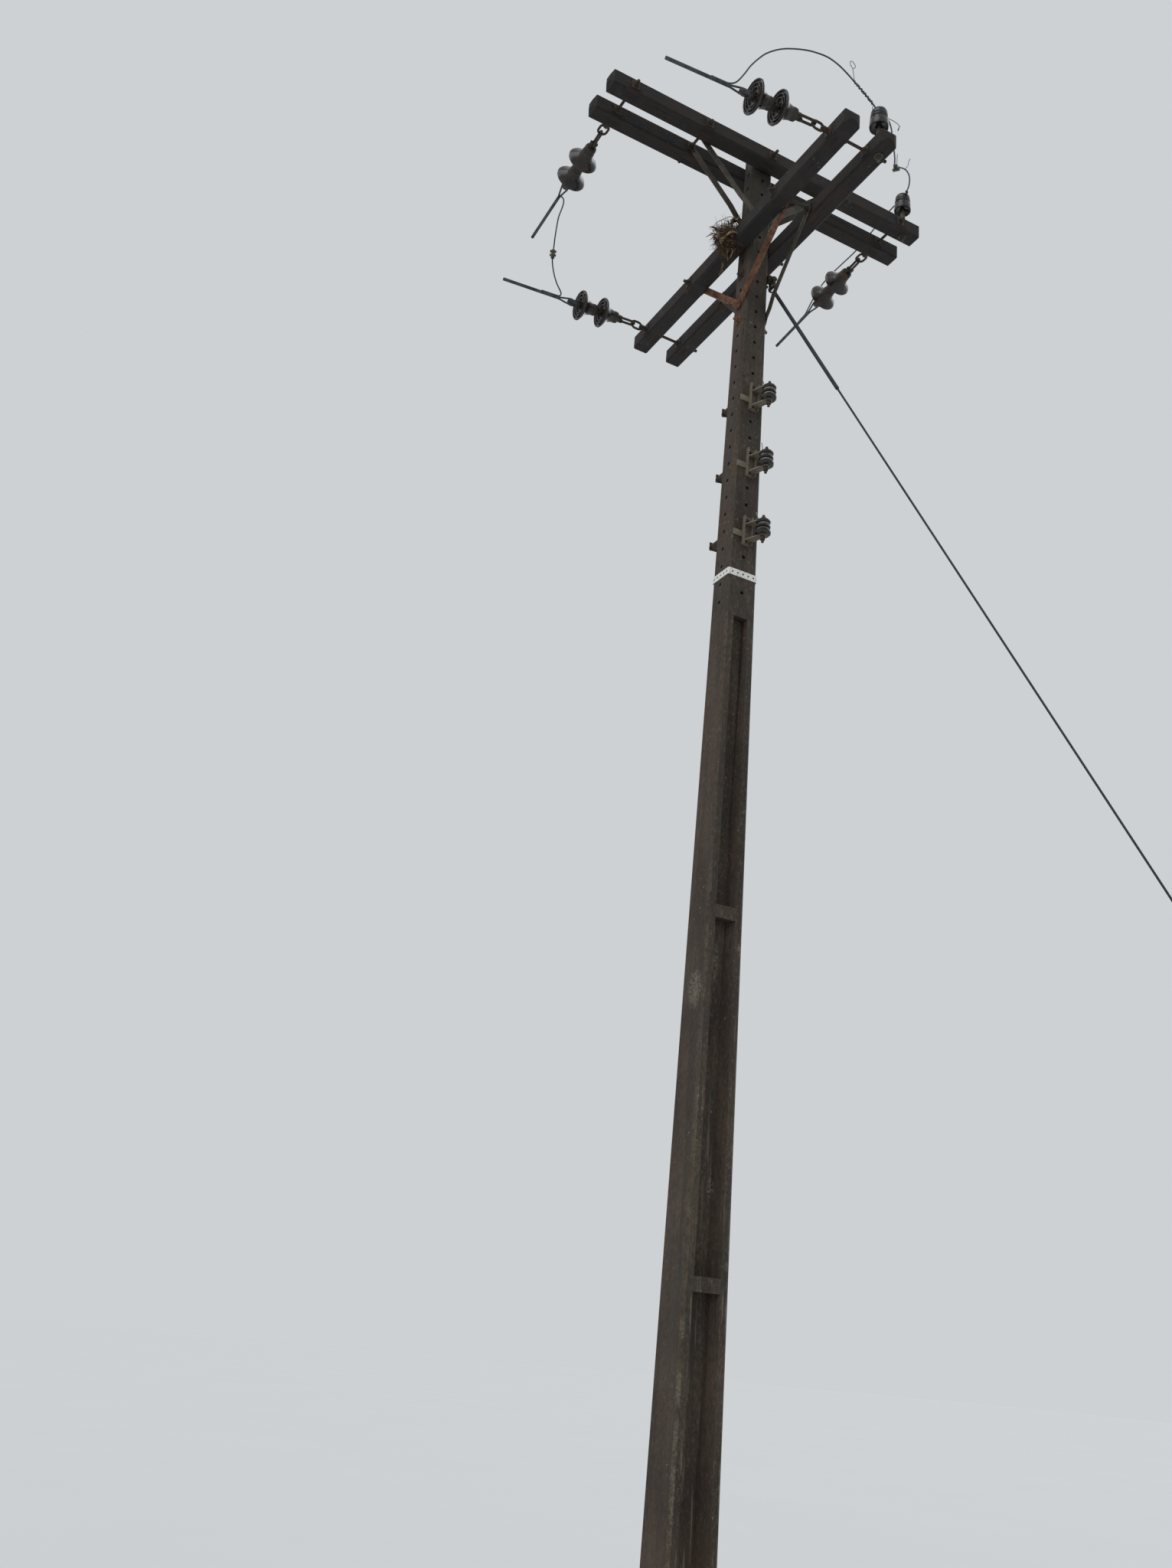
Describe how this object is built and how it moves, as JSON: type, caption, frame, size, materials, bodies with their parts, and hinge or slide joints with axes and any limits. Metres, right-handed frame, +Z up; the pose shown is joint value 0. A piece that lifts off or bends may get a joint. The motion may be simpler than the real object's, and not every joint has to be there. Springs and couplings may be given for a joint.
{
  "type": "concrete distribution pole with timber crossarms",
  "caption": "Corner distribution pole of damp reinforced concrete with two crossed pairs of dark timber arms, brown porcelain insulators, racks and a wire stay",
  "frame": {"origin": "centre of the pole at ground level", "axes": "+Z up along the pole, +X along the upper arms, +Y along the lower arms"},
  "size_m": [3.6284, 3.5826, 7.651],
  "materials": {
    "concrete": "rough cast, damp and stained with algae",
    "crossarm_timber": "sawn hardwood, weathered grey brown",
    "galvanised_steel": "dull hot dip zinc with stains",
    "rusty_steel": "rusted rough",
    "brown_porcelain": "glossy dark brown glaze",
    "pale_strap": "pale matt coating",
    "grey_strand": "dull stranded wire"
  },
  "bodies": {
    "root": {"pole": "concrete", "arm_upper_near": "crossarm_timber", "arm_upper_far": "crossarm_timber", "arm_lower_left": "crossarm_timber", "arm_lower_right": "crossarm_timber", "bolts_upper": "galvanised_steel", "bolts_lower": "galvanised_steel", "brace_bolts": "rusty_steel", "brace_upper_near": "galvanised_steel", "brace_upper_far": "galvanised_steel", "brace_lower_left": "rusty_steel", "brace_lower_right": "galvanised_steel", "eye_1": "galvanised_steel", "eye_2": "galvanised_steel", "eye_3": "galvanised_steel", "eye_4": "galvanised_steel", "caps_1": "galvanised_steel", "caps_2": "galvanised_steel", "caps_3": "galvanised_steel", "caps_4": "galvanised_steel", "bells_1": "brown_porcelain", "bells_2": "brown_porcelain", "bells_3": "brown_porcelain", "bells_4": "brown_porcelain", "grip_1": "grey_strand", "grip_2": "grey_strand", "grip_3": "grey_strand", "grip_4": "grey_strand", "insulator_pins": "galvanised_steel", "pin_insulators": "brown_porcelain", "rack_brackets": "galvanised_steel", "rack_spools": "brown_porcelain", "rack_bolts": "galvanised_steel", "strap": "pale_strap", "strap_buckle": "pale_strap", "stay_plate": "galvanised_steel", "stay_shackle": "galvanised_steel", "stay_strand": "grey_strand", "anchor_rod": "rusty_steel", "wire_left": "grey_strand", "wire_right": "grey_strand", "wire_clamps": "galvanised_steel"}
  },
  "joints": []
}
